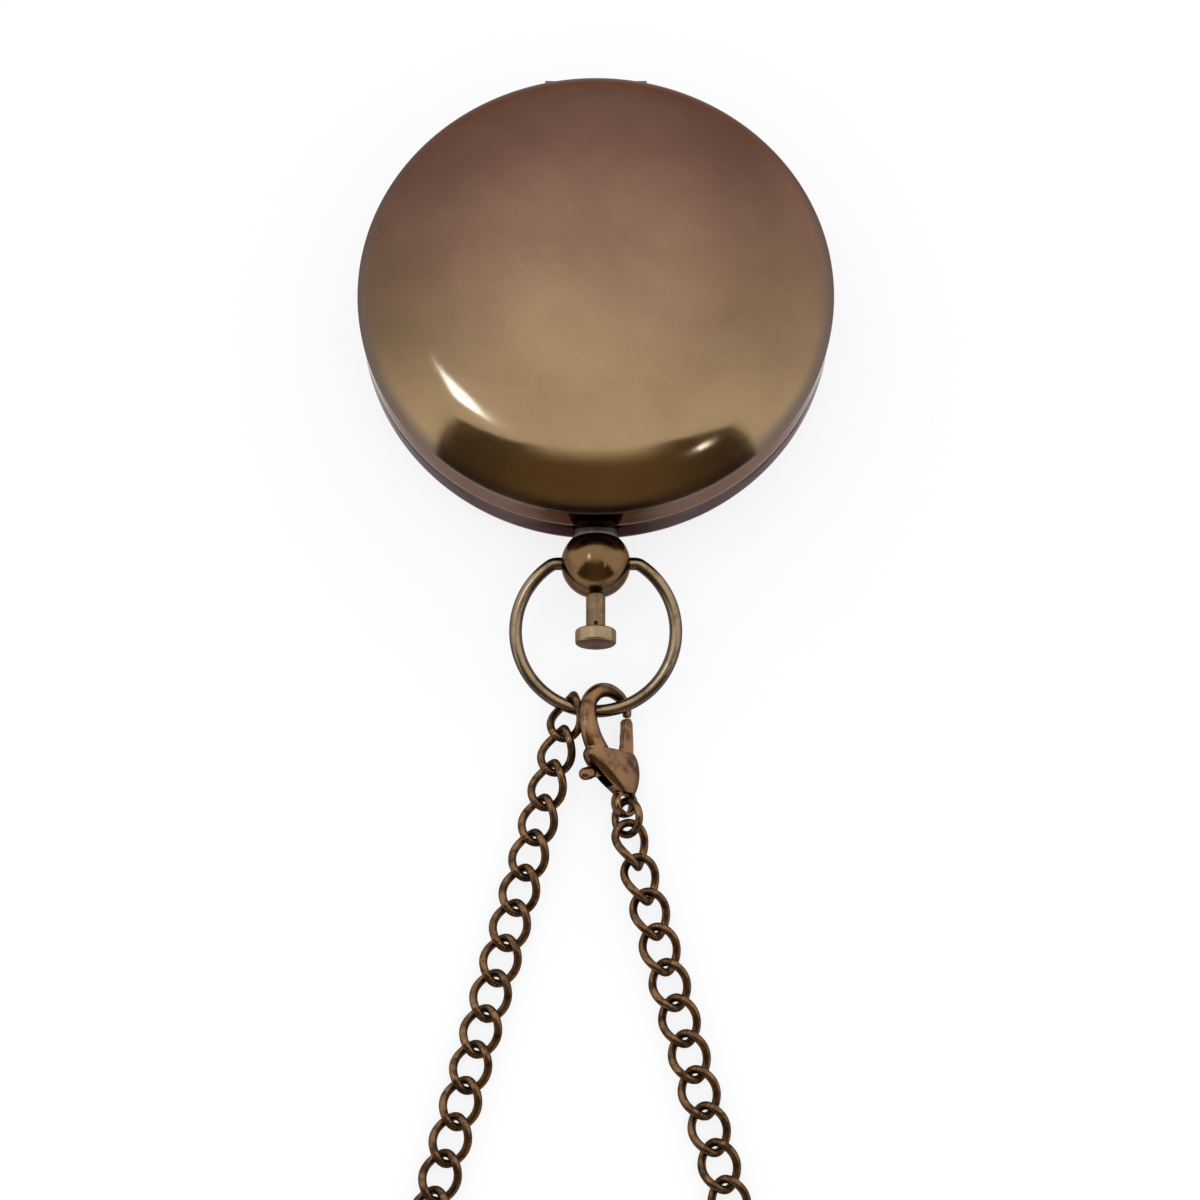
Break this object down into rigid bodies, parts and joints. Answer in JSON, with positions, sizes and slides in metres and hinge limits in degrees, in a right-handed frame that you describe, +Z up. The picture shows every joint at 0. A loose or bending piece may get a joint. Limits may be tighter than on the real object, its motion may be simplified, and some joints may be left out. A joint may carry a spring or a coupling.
{
  "type": "pocket compass",
  "caption": "Closed brass pocket compass with a hinged lid, push-button pendant, bow ring and a clasped chain looped through the ring.",
  "frame": {"origin": "centre of the small flat face under the back of the case", "axes": "+Z up through the lid, -Y from the case through the pendant, ring and chain, +X to the right of the picture"},
  "size_m": [0.0451, 0.1553, 0.0146],
  "materials": {
    "case_brass": "antiqued satin",
    "lid_bronze": "antiqued, polished",
    "chain_copper": "antiqued copper plate",
    "inner_brass": "satin",
    "spring_steel": "satin",
    "needle_steel": "gloss",
    "dial_paint": "matt",
    "glass": "clear",
    "jewel": "polished"
  },
  "bodies": {
    "case": {"back_shell": "case_brass", "hinge_pin": "spring_steel", "dial_plate": "inner_brass", "dial_card": "dial_paint", "dial_ring": "inner_brass", "pivot_post": "spring_steel", "crystal": "glass", "bezel_ring": "case_brass", "lift_spring": "spring_steel", "spring_screws": "spring_steel", "neck_collar": "lid_bronze", "pendant_ball": "case_brass"},
    "lid": {"lid_shell": "lid_bronze", "lid_catch": "spring_steel"},
    "needle": {"needle": "needle_steel", "needle_hub": "inner_brass", "cap_jewel": "jewel"},
    "lock": {"lock_spring": "spring_steel"},
    "button": {"button_stem": "case_brass", "button_head": "case_brass", "head_pin": "spring_steel", "stem_clip": "spring_steel", "return_spring": "spring_steel"},
    "bow": {"bow_ring": "case_brass"},
    "chain_upper": {"clasp_body": "chain_copper", "clasp_rivet": "chain_copper", "clasp_spring": "spring_steel", "jump_ring": "chain_copper", "left_links_1": "chain_copper", "right_links_1": "chain_copper"},
    "trigger": {"clasp_trigger": "chain_copper"},
    "chain_second": {"left_links_2": "chain_copper", "right_links_2": "chain_copper"},
    "chain_third": {"left_links_3": "chain_copper", "right_links_3": "chain_copper"},
    "chain_fourth": {"left_links_4": "chain_copper", "right_links_4": "chain_copper"},
    "chain_end": {"loop_links_left": "chain_copper", "loop_links_right": "chain_copper"}
  },
  "joints": [
    {"name": "lid_hinge", "type": "hinge", "parent": "case", "child": "lid", "pos_m": [0, 0.023, 0.00679], "axis": [-1, 0, 0], "range_deg": [0, 105]},
    {"name": "needle_turn", "type": "hinge", "parent": "case", "child": "needle", "pos_m": [0, 0, 0.00501], "axis": [0, 0, 1], "continuous": true},
    {"name": "button_press", "type": "slide", "parent": "case", "child": "button", "axis": [0, 1, 0], "range_m": [0, 0.001], "stiffness_N_per_m": 1500, "springref_m": -0.0001, "deforming": ["return_spring"]},
    {"name": "lock_flex", "type": "hinge", "parent": "case", "child": "lock", "pos_m": [0.01675, -0.01173, 0.0049], "axis": [0, 0, -1], "range_deg": [0, 12]},
    {"name": "bow_swing", "type": "hinge", "parent": "case", "child": "bow", "pos_m": [0, -0.02554, 0.00513], "axis": [-1, 0, 0], "range_deg": [-80, 110]},
    {"name": "chain_swing", "type": "hinge", "parent": "bow", "child": "chain_upper", "pos_m": [-0.00052, -0.03879, 0.0026], "axis": [-0.9974, 0.0709, 0.0135], "range_deg": [-25, 25]},
    {"name": "clasp_trigger_swing", "type": "hinge", "parent": "chain_upper", "child": "trigger", "pos_m": [0.00255, -0.04393, 0.00136], "axis": [0.6691, 0, 0.7431], "range_deg": [0, 20], "stiffness_Nm_per_rad": 0.002, "springref_deg": -1.15},
    {"name": "chain_fold_1", "type": "hinge", "parent": "chain_upper", "child": "chain_second", "pos_m": [0, -0.05986, 0.00092], "axis": [1, 0, 0], "range_deg": [-14, 14]},
    {"name": "chain_fold_2", "type": "hinge", "parent": "chain_second", "child": "chain_third", "pos_m": [0, -0.07581, 0.00092], "axis": [-1, 0, 0], "range_deg": [-14, 14]},
    {"name": "chain_fold_3", "type": "hinge", "parent": "chain_third", "child": "chain_fourth", "pos_m": [0, -0.09175, 0.00092], "axis": [1, 0, 0], "range_deg": [-14, 14]},
    {"name": "chain_fold_4", "type": "hinge", "parent": "chain_fourth", "child": "chain_end", "pos_m": [0, -0.10451, 0.00092], "axis": [-1, 0, 0], "range_deg": [-14, 14]}
  ],
  "couplings": [
    {"joint": "lock_flex", "follows": "button_press", "rad_per_m": 62.8}
  ]
}
